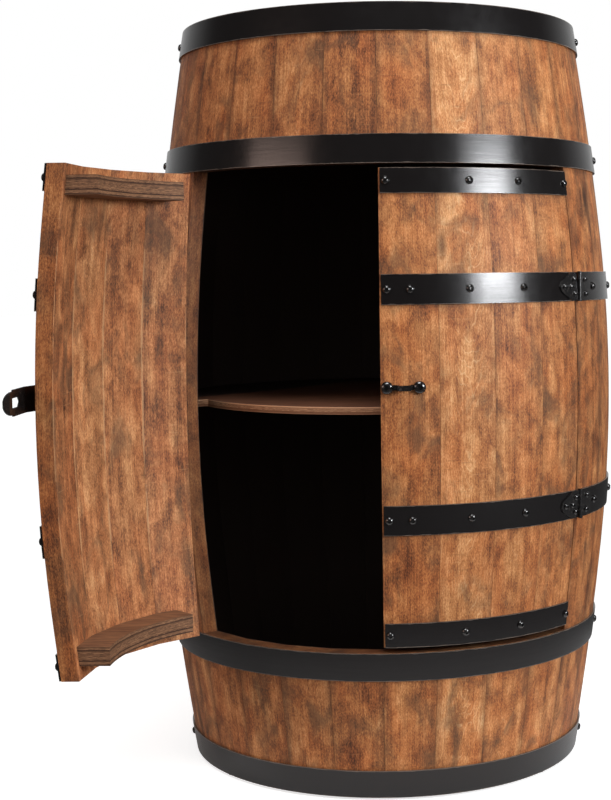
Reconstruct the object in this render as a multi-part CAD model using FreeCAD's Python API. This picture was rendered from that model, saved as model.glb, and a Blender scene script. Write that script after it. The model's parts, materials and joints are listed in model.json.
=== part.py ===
"""Barrel bar cabinet: a barrel of bent staves with two doors cut out of its front.

Millimetres, +Z up, the doors face -Y.  The origin is on the floor, below the barrel's axis.
An azimuth is measured in degrees round the barrel's axis from the front (-Y) towards +X.
Heights named ..._z are above the barrel's lower rim, which stands on the glides.
"""
import FreeCAD, Part
import math
import os

os.makedirs("parts", exist_ok=True)

V = FreeCAD.Vector
UP = V(0, 0, 1)

# ---- driving dimensions -------------------------------------------------------------------
# barrel
barrel_height = 800.0
belly_radius = 256.0            # outside of the staves at mid height
bow = 40.5                      # how much smaller that radius is at both rims
belly_share = 0.2125            # of the height, up and down from the middle, that the belly bends in
belly_drop = 9.06               # how much the radius falls over that stretch
stave_count = 27
stave_thickness = 18.0
stave_joint = 0.3               # hairline between two staves
door_staves = 4                 # staves across one door

# door opening and doors
sill_rise = 0.2                 # the opening's lower edge above the lower hoop
door_bottom_gap = 6.0
door_top_gap = 4.5
meeting_gap = 1.5               # between the two closed doors
hinge_side_gap = 1.2            # between a door and its jamb stave
left_door_open = 90.0           # degrees, as stored

# steel bands
band_thickness = 2.2
band_seat = 0.1                 # paint gap under a band
hoop_width = 29.0
lower_hoop_z = 125.3            # lower edge
upper_hoop_drop = 130.5         # from the upper rim to the upper hoop
hoop_seam = 1.0                 # butt seam of a full hoop, at the back
end_strap_width = 25.0          # straps along the doors' upper and lower edges
hinge_strap_width = 30.0
upper_hinge_rise = 117.2        # middle of the hinge straps and side hoops, above mid height
lower_hinge_drop = 109.9        # and below it
strap_free_margin = 1.5         # from the door's free edge to a strap's end
strap_hinge_margin = 0.3        # from the door's hinge edge to a strap's end
hoop_screw_azimuth = 83.5
seam_screw_azimuth = 176.5

# heads, shelf and feet
head_thickness = 18.0
head_recess = 10.0              # top head below the upper rim
bottom_head_z = 30.0
croze_depth = 5.0               # groove in the staves that holds a head
croze_clearance = 0.1
head_board_count = 5
board_joint = 0.4
shelf_drop = 1.5                # the shelf's top below mid height
shelf_thickness = 7.6
shelf_setback = 50.0            # curved front edge, behind the belly
wall_clearance = 0.3
cleat_length = 50.0
cleat_depth = 18.0
cleat_height = 20.0
cleat_screw_spacing = 30.0
cleat_staves = (1, 5, 9, 13, 17)    # back staves that carry a cleat, counted from the right jamb
glide_height = 3.0
glide_radius = 7.0
glide_azimuths = (-128.0, -52.0, 52.0, 128.0)

# curved ribs inside the doors
rib_thickness = 18.0
rib_depth = 28.0
upper_rib_inset = 10.4          # from the door's upper edge
lower_rib_inset = 13.0          # from the door's lower edge
rib_free_margin = 7.3           # from the door's free edge to the rib's end
rib_hinge_margin = 31.5         # from the door's hinge edge to the rib's end
glue_gap = 0.1

# hinges
hinge_axis_arc = 3.43           # pin's axis beyond the joint of door and jamb, along the surface
hinge_axis_height = 4.04        # pin's axis above the skin, between the two hinge levels
knuckle_radius = 2.5
hinge_pin_radius = 1.3
pin_running_clearance = 0.05    # in the knuckles that turn on a pin
pin_seat_clearance = 0.02       # in the knuckles that hold it
pin_head_radius = 2.2
pin_head_height = 1.0
leaf_thickness = 1.4
leaf_seat = 0.05
leaf_height = 29.0
knuckle_gap = 0.3
leaf_start = 3.0                # from the pin's axis to the sheet of a leaf
jamb_leaf_reach = 26.5          # from the pin's axis
door_leaf_reach = 34.5
door_leaf_shoulder = 15.0       # where the door leaf starts to taper
door_leaf_nose = 5.5            # half height of the tapered end
side_hoop_margin = 3.6          # from the pin's axis to the end of a side hoop

# hasp and staple
hasp_rise = 21.5                # above mid height
staple_arc = 22.8               # from the doors' meeting line, along the surface
staple_foot_spacing = 32.0
staple_foot_radius = 5.6
staple_thickness = 1.6
staple_width = 5.4
bridge_width = 13.0
bridge_height = 13.0
bridge_thickness = 2.4
bridge_splay = 0.8              # how far each leg leans out
hasp_width = 24.0
hasp_thickness = 1.6
hasp_lift = 5.3                 # closed flap above the door at the staple
hasp_axis_arc = 41.0            # from the doors' meeting line, along the surface
hasp_axis_height = 3.4          # pin's axis above the door's surface
hasp_knuckle_radius = 2.8
hasp_pin_radius = 1.5
hasp_plate_length = 36.0
hasp_plate_chamfer = 4.0
hasp_bend_to_slot = 32.0        # from the bend to the slot's middle
hasp_slot_length = 25.0
hasp_slot_width = 9.0
hasp_shoulder = 9.0             # from the slot's middle to the narrower tip
hasp_tip_radius = 10.5
hasp_tip_reach = 28.0           # from the slot's middle to the lip's end
hasp_lip = 8.0
hasp_lip_angle = 25.0
hasp_rest_angle = 6.5           # swung out from the closed place, as stored

screw_clearance = 0.05          # round a screw's shank
# screws: head radius, head height, shank radius, length under the head, hexagon's corner radius
BAND_SCREW = (4.0, 2.8, 1.9, 14.0, 1.7)
LEAF_SCREW = (3.2, 2.2, 1.5, 16.0, 1.3)
STAPLE_SCREW = (6.2, 3.3, 2.4, 16.0, 2.6)
CLEAT_SCREW = (3.6, 2.4, 1.8, 27.0, 1.5)
head_rim_share = 0.3            # upright rim of a screw's head, of the head's height
head_crown = (0.74, 0.72)       # a point of its dome: of the radius, and of the height above the rim
socket_floor_share = 0.45       # of the head's height

# screws of a strap, counted in staves from the doors' meeting line
top_strap_screws = (0.13, 1.635, 2.65, 3.9)
end_strap_screws = (0.13, 1.5, 2.65, 3.9)
hinge_strap_screws = (0.13, 0.52, 1.55, 2.61)
side_hoop_screw_arc = 36.6      # from the pin's axis to the side hoop's first screw
door_leaf_row = (15.2, 27.0)    # from the pin's axis, on the leaf's middle line
door_leaf_pair = 9.0            # from the pin's axis, one above the other
jamb_leaf_pair = 14.2
leaf_pair_spacing = 15.2
hasp_plate_screws = (12.0, 26.0)

overshoot = 1.0                 # how far a cutter runs past what it cuts

# ---- values that follow -------------------------------------------------------------------
stave_pitch = 360.0 / stave_count
back_stave_count = stave_count - 2 * door_staves
door_span = door_staves * stave_pitch
middle_z = barrel_height / 2
end_radius = belly_radius - bow
belly_reach = belly_share * barrel_height
belly_bend = (belly_reach ** 2 + belly_drop ** 2) / 2 / belly_drop
# the gentler bend leaves the belly's bend without a kink and ends at the rim
bend_sine = belly_reach / belly_bend
bend_cosine = math.sqrt(1 - bend_sine ** 2)
reach_radius = belly_radius - belly_drop
run_up, run_in = middle_z - belly_reach, end_radius - reach_radius
end_bend = -(run_up ** 2 + run_in ** 2) / 2 / (run_up * bend_sine + run_in * bend_cosine)
end_bend_away = belly_reach - end_bend * bend_sine
end_bend_radius = reach_radius - end_bend * bend_cosine

# heights above the lower rim
upper_hoop_z = barrel_height - upper_hoop_drop - hoop_width
opening_bottom_z = lower_hoop_z + hoop_width + sill_rise
opening_top_z = upper_hoop_z
door_bottom_z = opening_bottom_z + door_bottom_gap
door_top_z = opening_top_z - door_top_gap
upper_hinge_z = middle_z + upper_hinge_rise
lower_hinge_z = middle_z - lower_hinge_drop
shelf_top_z = middle_z - shelf_drop
hasp_z = middle_z + hasp_rise
top_head_z = barrel_height - head_recess - head_thickness

# radii and thicknesses
shelf_front_radius = belly_radius - shelf_setback
board_half = 1.2 * belly_radius * math.tan(math.radians(stave_pitch / 2))   # wider than half a stave
band_outside = band_seat + band_thickness
leaf_inside = band_outside + leaf_seat
leaf_outside = leaf_inside + leaf_thickness
cutter_near, cutter_far = 0.8 * belly_radius, 1.2 * belly_radius    # inside and outside the skin


def arc_angle(length):
    """Degrees that a length along the belly's surface takes."""
    return math.degrees(length / belly_radius)


# azimuths
joint_angle = arc_angle(stave_joint / 2)
free_edge_azimuth = arc_angle(meeting_gap / 2)
hinge_edge_azimuth = door_span - arc_angle(hinge_side_gap)
strap_free_azimuth = free_edge_azimuth + arc_angle(strap_free_margin)
strap_hinge_azimuth = hinge_edge_azimuth - arc_angle(strap_hinge_margin)
rib_free_azimuth = free_edge_azimuth + arc_angle(rib_free_margin)
rib_hinge_azimuth = hinge_edge_azimuth - arc_angle(rib_hinge_margin)
hinge_azimuth = door_span + arc_angle(hinge_axis_arc)
side_hoop_azimuth = hinge_azimuth + arc_angle(side_hoop_margin)
side_hoop_screws = (hinge_azimuth + arc_angle(side_hoop_screw_arc), hoop_screw_azimuth, seam_screw_azimuth)
shelf_front_azimuth = door_span + stave_pitch       # where the shelf's front steps out to the wall
staple_azimuth = arc_angle(staple_arc)


def stave_radius(z):
    """Outside radius of the barrel at a height above its lower rim: a belly and two gentler bends."""
    away = abs(z - middle_z)
    if away <= belly_reach:
        return belly_radius - belly_bend + math.sqrt(belly_bend ** 2 - away ** 2)
    return end_bend_radius + math.sqrt(end_bend ** 2 - (away - end_bend_away) ** 2)


hinge_axis_radius = (stave_radius(lower_hinge_z) + stave_radius(upper_hinge_z)) / 2 + hinge_axis_height


def on_barrel(azimuth, radius, z):
    """Point at an azimuth, a radius and a height above the lower rim."""
    angle = math.radians(azimuth)
    return V(radius * math.sin(angle), -radius * math.cos(angle), z + glide_height)


def face_of(edges):
    return Part.Face(Part.Wire(Part.__sortEdges__(edges)))


def outline(offset, z0, z1):
    """Arcs of the barrel's outline in the front plane, moved outwards by an offset."""
    ends = [z for z in (middle_z - belly_reach, middle_z + belly_reach) if z0 < z < z1]
    ends = [z0] + ends + [z1]
    arcs = []
    for low, high in zip(ends, ends[1:]):
        points = [on_barrel(0, stave_radius(z) + offset, z) for z in (low, (low + high) / 2, high)]
        arcs.append(Part.Arc(*points).toShape())
    return arcs


def section(inner, outer, z0, z1):
    """Upright section between two offsets of the barrel's outline, in the front plane."""
    ends = [Part.makeLine(on_barrel(0, stave_radius(z) + inner, z),
                          on_barrel(0, stave_radius(z) + outer, z)) for z in (z0, z1)]
    return face_of(outline(inner, z0, z1) + outline(outer, z0, z1) + ends)


def turned(shape, azimuth):
    """A copy of a shape made at the front, turned round the barrel to an azimuth."""
    copy = shape.copy()
    copy.rotate(V(0, 0, 0), UP, azimuth)
    return copy


def shell(inner, outer, z0, z1, azimuth0, azimuth1):
    """Part of the barrel's skin between two offsets, two heights and two azimuths."""
    start = turned(section(inner, outer, z0, z1), azimuth0)
    return start.revolve(V(0, 0, 0), UP, azimuth1 - azimuth0)


def ring(inner_radius, outer_radius, z0, z1, azimuth0, azimuth1):
    """Upright ring segment with plain cylindrical walls."""
    corners = [on_barrel(0, r, z) for r, z in
               ((inner_radius, z0), (outer_radius, z0), (outer_radius, z1), (inner_radius, z1))]
    start = turned(Part.Face(Part.makePolygon(corners + corners[:1])), azimuth0)
    return start.revolve(V(0, 0, 0), UP, azimuth1 - azimuth0)


def side_range(side, near, far_azimuth):
    """Azimuths of a stretch on the right side, or mirrored to the left, lowest first."""
    return sorted((side * near, side * far_azimuth))


def prism(points, z0, z1):
    """Upright prism over a polygon given as front-plane points (x, outwards from the axis)."""
    corners = [V(x, -out, z0 + glide_height) for x, out in points]
    return Part.Face(Part.makePolygon(corners + corners[:1])).extrude(V(0, 0, z1 - z0))


def cross_prism(points, near, away):
    """Prism through the front, over a polygon of (x, z) points, between two distances out."""
    corners = [V(x, -near, z + glide_height) for x, z in points]
    return Part.Face(Part.makePolygon(corners + corners[:1])).extrude(V(0, near - away, 0))


def cross_cylinder(radius, x, z):
    """Round cutter through the front."""
    start = V(x, -cutter_near, z + glide_height)
    return Part.makeCylinder(radius, cutter_far - cutter_near, start, V(0, -1, 0))


def strip(points, thickness, z0, z1):
    """Sheet of even thickness, bent along a line of (x, out) points, with mitred bends."""
    left, right = [], []
    for i, (x, out) in enumerate(points):
        before = points[max(i - 1, 0)]
        after = points[min(i + 1, len(points) - 1)]
        runs = [V(x - before[0], out - before[1], 0), V(after[0] - x, after[1] - out, 0)]
        runs = [run.normalize() for run in runs if run.Length > 0]
        along = sum(runs, V(0, 0, 0)).normalize()
        mitre = thickness / 2 / along.dot(runs[0])
        left.append((x - along.y * mitre, out + along.x * mitre))
        right.append((x + along.y * mitre, out - along.x * mitre))
    return prism(left + right[::-1], z0, z1)


def cylinder(radius, x, out, z0, z1):
    """Upright cylinder in front of the axis."""
    return Part.makeCylinder(radius, z1 - z0, V(x, -out, z0 + glide_height), UP)


# ---- screws -------------------------------------------------------------------------------
def seat(azimuth, z, offset, size):
    """A screw that stands square on the barrel's skin: where it seats, its direction, its size."""
    head_radius = size[0]
    slope = (stave_radius(z + head_radius) - stave_radius(z - head_radius)) / 2 / head_radius
    outwards = on_barrel(azimuth, 1, -glide_height)
    return on_barrel(azimuth, stave_radius(z) + offset, z), outwards - UP * slope, size


def screw(place):
    """Domed screw with a hexagon socket."""
    point, direction, (head_radius, head_height, shank_radius, length, socket) = place
    rim = head_height * head_rim_share
    crown = V(head_radius * head_crown[0], 0, rim + (head_height - rim) * head_crown[1])
    dome = Part.Arc(V(head_radius, 0, rim), crown, V(0, 0, head_height)).toShape()
    flank = Part.makePolygon([V(0, 0, head_height), V(0, 0, -length), V(shank_radius, 0, -length),
                              V(shank_radius, 0, 0), V(head_radius, 0, 0), V(head_radius, 0, rim)])
    body = face_of([dome] + flank.Edges).revolve(V(0, 0, 0), UP, 360)
    corners = [V(socket * math.cos(math.radians(60 * i)), socket * math.sin(math.radians(60 * i)),
                 head_height * socket_floor_share) for i in range(7)]
    body = body.cut(Part.Face(Part.makePolygon(corners)).extrude(V(0, 0, head_height)))
    body.Placement = FreeCAD.Placement(point, FreeCAD.Rotation(UP, direction))
    return body


def shank_hole(place):
    """The hole that a screw's shank fills."""
    point, direction, (_, head_height, shank_radius, length, _) = place
    hole = Part.makeCylinder(shank_radius + screw_clearance, length + screw_clearance + head_height,
                             V(0, 0, -length - screw_clearance), UP)
    hole.Placement = FreeCAD.Placement(point, FreeCAD.Rotation(UP, direction))
    return hole


def drilled(shape, places):
    """A shape with the holes of the screws that reach it."""
    holes = [shank_hole(place) for place in places]
    holes = [hole for hole in holes if shape.BoundBox.intersect(hole.BoundBox)]
    return shape.cut(holes) if holes else shape


def screws(places):
    return Part.makeCompound([screw(place) for place in places])


# ---- staves -------------------------------------------------------------------------------
def crozes():
    """Discs that cut the two grooves in the staves."""
    discs = []
    for z in (bottom_head_z, top_head_z):
        height = head_thickness + 2 * croze_clearance
        base = V(0, 0, z - croze_clearance + glide_height)
        discs.append(Part.makeCylinder(croze_radius(z), height, base, UP))
    return discs


def croze_radius(z):
    lower_radius = min(stave_radius(z), stave_radius(z + head_thickness))
    return lower_radius - stave_thickness + croze_depth


def stave(middle, azimuth0, azimuth1, z0, z1):
    """One stave: round outside, flat across inside, its edges on lines through the axis."""
    facet = section(-stave_thickness, stave_thickness, z0, z1)
    facet.translate(V(-board_half, 0, 0))
    board = turned(facet.extrude(V(2 * board_half, 0, 0)), middle)
    body = board.common(shell(-1.5 * stave_thickness, 0, z0, z1, azimuth0, azimuth1))
    for disc in crozes():
        if body.BoundBox.intersect(disc.BoundBox):
            body = body.cut(disc)
    return body


def front_staves(side, z0, z1, free_edge, hinge_edge):
    """The four staves of one side of the front, from the middle outwards."""
    staves = []
    for i in range(door_staves):
        near = free_edge if i == 0 else i * stave_pitch + joint_angle
        away = hinge_edge if i == door_staves - 1 else (i + 1) * stave_pitch - joint_angle
        azimuth0, azimuth1 = side_range(side, near, away)
        staves.append(stave(side * (i + 0.5) * stave_pitch, azimuth0, azimuth1, z0, z1))
    return staves


def back_stave(i):
    middle = door_span + (i + 0.5) * stave_pitch
    half = stave_pitch / 2 - joint_angle
    return middle, stave(middle, middle - half, middle + half, 0, barrel_height)


def rib(side, z0):
    """Curved plywood rib glued across the flat insides of a door's staves."""
    z1 = z0 + rib_thickness
    face_radius = min(stave_radius(z0), stave_radius(z1)) - stave_thickness
    pieces = []
    for i in range(door_staves):
        near = max(i * stave_pitch, rib_free_azimuth)
        away = min((i + 1) * stave_pitch, rib_hinge_azimuth)
        azimuth0, azimuth1 = side_range(side, near, away)
        facet = section(-stave_thickness - 2 * rib_depth, -stave_thickness - glue_gap, z0, z1)
        facet.translate(V(-board_half, 0, 0))
        board = turned(facet.extrude(V(2 * board_half, 0, 0)), side * (i + 0.5) * stave_pitch)
        pieces.append(board.common(ring(face_radius - rib_depth, belly_radius, z0, z1,
                                        azimuth0, azimuth1)))
    return pieces[0].fuse(pieces[1:]).removeSplitter()


# ---- heads and shelf ----------------------------------------------------------------------
def head(z):
    """Round head of boards, its rim in the croze."""
    radius = croze_radius(z) - wall_clearance
    disc = Part.makeCylinder(radius, head_thickness, V(0, 0, z + glide_height), UP)
    board_width = 2 * radius / head_board_count
    boards = []
    for i in range(head_board_count):
        left = -radius + i * board_width + (board_joint / 2 if i else 0)
        right = -radius + (i + 1) * board_width - (board_joint / 2 if i < head_board_count - 1 else 0)
        boards.append(disc.common(prism([(left, -radius), (right, -radius), (right, radius),
                                         (left, radius)], z, z + head_thickness)))
    return Part.makeCompound(boards)


shelf_bottom_z = shelf_top_z - shelf_thickness
cleat_bottom_z = shelf_bottom_z - cleat_height
cleat_radius = stave_radius(cleat_bottom_z) - stave_thickness - glue_gap


def shelf():
    radius = stave_radius(shelf_bottom_z) - stave_thickness - wall_clearance
    disc = Part.makeCylinder(radius, shelf_thickness, V(0, 0, shelf_bottom_z + glide_height), UP)
    front = ring(shelf_front_radius, cutter_far, shelf_bottom_z - overshoot, shelf_top_z + overshoot,
                 -shelf_front_azimuth, shelf_front_azimuth)
    return disc.cut(front)


def cleat(middle):
    half = cleat_length / 2
    block = prism([(-half, cleat_radius - cleat_depth), (half, cleat_radius - cleat_depth),
                   (half, cleat_radius), (-half, cleat_radius)], cleat_bottom_z, shelf_bottom_z)
    return turned(block, middle)


def cleat_screw_places(middle):
    """Two screws through a cleat into its stave, driven from inside."""
    places = []
    for x in (-cleat_screw_spacing / 2, cleat_screw_spacing / 2):
        point = V(x, -(cleat_radius - cleat_depth), cleat_bottom_z + cleat_height / 2 + glide_height)
        turn = FreeCAD.Rotation(UP, middle)
        places.append((turn.multVec(point), turn.multVec(V(0, 1, 0)), CLEAT_SCREW))
    return places


# ---- hinges -------------------------------------------------------------------------------
def hinge_axis(side):
    return on_barrel(side * hinge_azimuth, hinge_axis_radius, -glide_height)


def knuckle_levels(middle, height):
    """Heights of the lower, middle and upper knuckle of a hinge."""
    low = middle - height / 2
    levels = []
    for i in range(3):
        foot = low + i * height / 3 + (knuckle_gap / 2 if i else 0)
        top = low + (i + 1) * height / 3 - (knuckle_gap / 2 if i < 2 else 0)
        levels.append((foot, top))
    return levels


def headed_pin(radius, out, z0, z1, azimuth):
    """Pin with a head at each end, at a distance from the barrel's axis."""
    body = cylinder(radius, 0, out, z0, z1)
    body = body.fuse([cylinder(pin_head_radius, 0, out, z1, z1 + pin_head_height),
                      cylinder(pin_head_radius, 0, out, z0 - pin_head_height, z0)])
    return turned(body.removeSplitter(), azimuth)


def on_skin(points, direction, side, inner, outer, z):
    """Curved sheet on the barrel over an outline of (distance from the pin, height) points."""
    azimuth = side * hinge_azimuth
    along = side * direction
    corners = [(along * t, z + up) for t, up in points]
    # longer than the sheet's own reach, because its corners lie on a flat in front of the curve
    reach = arc_angle(1.1 * max(t for t, _ in points) + overshoot)
    azimuth0, azimuth1 = sorted((azimuth - along * arc_angle(leaf_start), azimuth + along * reach))
    z0 = min(up for _, up in points) + z - overshoot
    z1 = max(up for _, up in points) + z + overshoot
    cutter = turned(cross_prism(corners, cutter_near, cutter_far), azimuth)
    return cutter.common(shell(inner, outer, z0, z1, azimuth0, azimuth1))


def leaf(side, z, on_door):
    """Hinge leaf with its knuckles: the door's leaf has the middle one, the jamb's the outer two."""
    levels = knuckle_levels(z, leaf_height)
    direction = -1 if on_door else 1
    own = [levels[1]] if on_door else [levels[0], levels[2]]
    half = leaf_height / 2
    taper_end = door_leaf_reach - door_leaf_nose / 2
    if on_door:
        corners = [(leaf_start, -half), (door_leaf_shoulder, -half), (taper_end, -door_leaf_nose),
                   (door_leaf_reach, 0), (taper_end, door_leaf_nose), (door_leaf_shoulder, half),
                   (leaf_start, half)]
    else:
        corners = [(leaf_start, -half), (jamb_leaf_reach, -half), (jamb_leaf_reach, half),
                   (leaf_start, half)]
    body = on_skin(corners, direction, side, leaf_inside, leaf_outside, z)
    hole = hinge_pin_radius + (pin_running_clearance if on_door else pin_seat_clearance)
    tab_end = leaf_start + overshoot
    for z0, z1 in own:
        tab = [(0, z0 - z), (tab_end, z0 - z), (tab_end, z1 - z), (0, z1 - z)]
        knuckle = cylinder(knuckle_radius, 0, hinge_axis_radius, z0, z1)
        body = body.fuse([on_skin(tab, direction, side, leaf_inside, leaf_outside, z),
                          turned(knuckle, side * hinge_azimuth)])
    bore = cylinder(hole, 0, hinge_axis_radius, z - leaf_height, z + leaf_height)
    return body.cut(turned(bore, side * hinge_azimuth)).removeSplitter()


def hinge_pin(side, z):
    half = leaf_height / 2
    return headed_pin(hinge_pin_radius, hinge_axis_radius, z - half, z + half, side * hinge_azimuth)


def leaf_screw_places(side, z, on_door):
    direction = -1 if on_door else 1
    pair = door_leaf_pair if on_door else jamb_leaf_pair
    spots = [(pair, leaf_pair_spacing / 2), (pair, -leaf_pair_spacing / 2)]
    if on_door:
        spots += [(t, 0) for t in door_leaf_row]
    return [seat(side * (hinge_azimuth + direction * arc_angle(t)), z + up, leaf_outside, LEAF_SCREW)
            for t, up in spots]


# ---- hasp and staple ----------------------------------------------------------------------
hasp_radius = stave_radius(hasp_z)
hasp_azimuth = -arc_angle(hasp_axis_arc)
hasp_axis_out = hasp_radius + hasp_axis_height
hasp_low_z = hasp_z - hasp_width / 2
hasp_high_z = hasp_z + hasp_width / 2
hasp_levels = knuckle_levels(hasp_z, hasp_width)
staple_reach_azimuth = arc_angle(staple_foot_spacing / 2 + staple_foot_radius + overshoot)


def hasp_axis():
    return on_barrel(hasp_azimuth, hasp_axis_out, -glide_height)


def hasp_sheet(points):
    """Part of the hasp's plate, over an outline of (distance from the pin, height) points."""
    azimuth0 = hasp_azimuth - arc_angle(hasp_plate_length + overshoot)
    skin = shell(band_seat, band_seat + hasp_thickness, hasp_low_z - overshoot, hasp_high_z + overshoot,
                 azimuth0, hasp_azimuth + arc_angle(overshoot))
    cutter = cross_prism([(-t, z) for t, z in points], cutter_near, cutter_far)
    return turned(cutter, hasp_azimuth).common(skin)


def hasp_plate():
    """Base plate of the hasp, screwed to the left door, with the two outer knuckles."""
    start = hasp_knuckle_radius + knuckle_gap
    chamfer_x = hasp_plate_length - hasp_plate_chamfer
    chamfer_low, chamfer_high = hasp_low_z + hasp_plate_chamfer, hasp_high_z - hasp_plate_chamfer
    body = hasp_sheet([(start, hasp_low_z), (chamfer_x, hasp_low_z), (hasp_plate_length, chamfer_low),
                       (hasp_plate_length, chamfer_high), (chamfer_x, hasp_high_z),
                       (start, hasp_high_z)])
    tab_end = start + overshoot
    for z0, z1 in (hasp_levels[0], hasp_levels[2]):
        knuckle = cylinder(hasp_knuckle_radius, 0, hasp_axis_out, z0, z1)
        body = body.fuse([hasp_sheet([(0, z0), (tab_end, z0), (tab_end, z1), (0, z1)]),
                          turned(knuckle, hasp_azimuth)])
    bore = cylinder(hasp_pin_radius + pin_seat_clearance, 0, hasp_axis_out,
                    hasp_low_z - overshoot, hasp_high_z + overshoot)
    return body.cut(turned(bore, hasp_azimuth)).removeSplitter()


def hasp_pin():
    return headed_pin(hasp_pin_radius, hasp_axis_out, hasp_low_z, hasp_high_z, hasp_azimuth)


def hasp_flap():
    """Bent flap in its closed place, made square to the staple."""
    turn = math.radians(hasp_azimuth - staple_azimuth)
    axis = (hasp_axis_out * math.sin(turn), hasp_axis_out * math.cos(turn))
    flat_out = hasp_radius + hasp_lift + hasp_thickness / 2
    bend = (-hasp_bend_to_slot, flat_out)
    lip = (hasp_tip_reach - hasp_lip, flat_out)
    lip_turn = math.radians(hasp_lip_angle)
    tip = (lip[0] + hasp_lip * math.cos(lip_turn), flat_out + hasp_lip * math.sin(lip_turn))
    sheet = strip([axis, bend, lip, tip], hasp_thickness, hasp_low_z, hasp_high_z)
    # outline seen from the front: full width, then a narrower round tip
    start, tip_middle = axis[0] - hasp_width / 2, tip[0] - hasp_tip_radius
    neck_low, neck_high = hasp_z - hasp_tip_radius, hasp_z + hasp_tip_radius
    broad = cross_prism([(start, hasp_low_z), (hasp_shoulder, hasp_low_z), (hasp_shoulder, hasp_high_z),
                         (start, hasp_high_z)], cutter_near, cutter_far)
    neck = cross_prism([(0, neck_low), (tip_middle, neck_low), (tip_middle, neck_high), (0, neck_high)],
                       cutter_near, cutter_far)
    tip_round = cross_cylinder(hasp_tip_radius, tip_middle, hasp_z)
    body = sheet.common(broad.fuse([neck, tip_round]))
    # slot with a small point towards the hinge
    long_half, wide_half = hasp_slot_length / 2, hasp_slot_width / 2
    slot = [(-long_half, 0), (-long_half + wide_half, wide_half), (long_half, wide_half),
            (long_half, -wide_half), (-long_half + wide_half, -wide_half)]
    body = body.cut(cross_prism([(x, hasp_z + z) for x, z in slot], cutter_near, cutter_far))
    # room for the plate's knuckles, then the flap's own knuckle
    knuckle_low, knuckle_high = hasp_levels[1]
    for z0, z1 in ((hasp_low_z - overshoot, knuckle_low), (knuckle_high, hasp_high_z + overshoot)):
        body = body.cut(cylinder(hasp_knuckle_radius + knuckle_gap, *axis, z0, z1))
    body = body.fuse(cylinder(hasp_knuckle_radius, *axis, knuckle_low, knuckle_high))
    body = body.cut(cylinder(hasp_pin_radius + pin_running_clearance, *axis, hasp_low_z, hasp_high_z))
    return turned(body.removeSplitter(), staple_azimuth)


def hasp_screw_places():
    outside = band_seat + hasp_thickness
    return [seat(hasp_azimuth - arc_angle(t), hasp_z, outside, LEAF_SCREW) for t in hasp_plate_screws]


def staple():
    """Strip bent into a bridge, with a round foot at each end that follows the door."""
    low_z, high_z = hasp_z - staple_width / 2, hasp_z + staple_width / 2
    skin_half = staple_foot_radius + overshoot
    skin = shell(band_seat, band_seat + staple_thickness, hasp_z - skin_half, hasp_z + skin_half,
                 -staple_reach_azimuth, staple_reach_azimuth)
    foot_out = hasp_radius + band_seat + staple_thickness / 2
    top_out = hasp_radius + bridge_height - bridge_thickness / 2
    half = (bridge_width - bridge_thickness) / 2
    body = strip([(-half - bridge_splay, foot_out), (-half, top_out), (half, top_out),
                  (half + bridge_splay, foot_out)], bridge_thickness, low_z, high_z)
    foot_x = staple_foot_spacing / 2
    for side in (-1, 1):
        arm = cross_prism([(side * half, low_z), (side * foot_x, low_z), (side * foot_x, high_z),
                           (side * half, high_z)], cutter_near, cutter_far)
        disc = cross_cylinder(staple_foot_radius, side * foot_x, hasp_z)
        body = body.fuse(arm.fuse(disc).common(skin))
    return turned(body.removeSplitter(), staple_azimuth)


def staple_screw_places():
    foot_azimuth = arc_angle(staple_foot_spacing / 2)
    return [seat(staple_azimuth + side * foot_azimuth, hasp_z, band_seat + staple_thickness, STAPLE_SCREW)
            for side in (-1, 1)]


# ---- the cabinet --------------------------------------------------------------------------
parts = {}
full_hoops = {
    "bottom_hoop": 0.0,
    "lower_hoop": lower_hoop_z,
    "upper_hoop": upper_hoop_z,
    "top_hoop": barrel_height - hoop_width,
}
side_hoops = {"lower_side_hoop": lower_hinge_z, "upper_side_hoop": upper_hinge_z}
seam_half = arc_angle(hoop_seam / 2)
seam_azimuth = 180.0            # at the back

# screws of the bands round the carcass
hoop_places = [seat(side * azimuth, z0 + hoop_width / 2, band_outside, BAND_SCREW)
               for z0 in full_hoops.values()
               for side in (-1, 1) for azimuth in (hoop_screw_azimuth, seam_screw_azimuth)]
side_hoop_places = [seat(side * azimuth, z, band_outside, BAND_SCREW)
                    for z in side_hoops.values() for side in (-1, 1) for azimuth in side_hoop_screws]
jamb_leaf_places = [place for side in (-1, 1) for z in (lower_hinge_z, upper_hinge_z)
                    for place in leaf_screw_places(side, z, on_door=False)]
carcass_places = hoop_places + side_hoop_places + jamb_leaf_places

# staves and cleats
back_staves, cleats, cleat_places = [], [], []
for i in range(back_stave_count):
    middle, body = back_stave(i)
    places = cleat_screw_places(middle) if i in cleat_staves else []
    if places:
        cleats.append(drilled(cleat(middle), places))
        cleat_places += places
    back_staves.append(drilled(body, carcass_places + places))
parts["back_staves"] = Part.makeCompound(back_staves)
for node, z0, z1 in (("lower_front_staves", 0, opening_bottom_z),
                     ("upper_front_staves", opening_top_z, barrel_height)):
    bodies = front_staves(-1, z0, z1, joint_angle, door_span - joint_angle)
    bodies += front_staves(1, z0, z1, joint_angle, door_span - joint_angle)
    parts[node] = Part.makeCompound(bodies)
parts["shelf"] = shelf()
parts["shelf_cleats"] = Part.makeCompound(cleats)
parts["cleat_screws"] = screws(cleat_places)
parts["bottom_head"] = head(bottom_head_z)
parts["top_head"] = head(top_head_z)
glide_circle = end_radius - stave_thickness / 2
parts["glides"] = Part.makeCompound(
    [Part.makeCylinder(glide_radius, glide_height, on_barrel(azimuth, glide_circle, -glide_height), UP)
     for azimuth in glide_azimuths])

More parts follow.
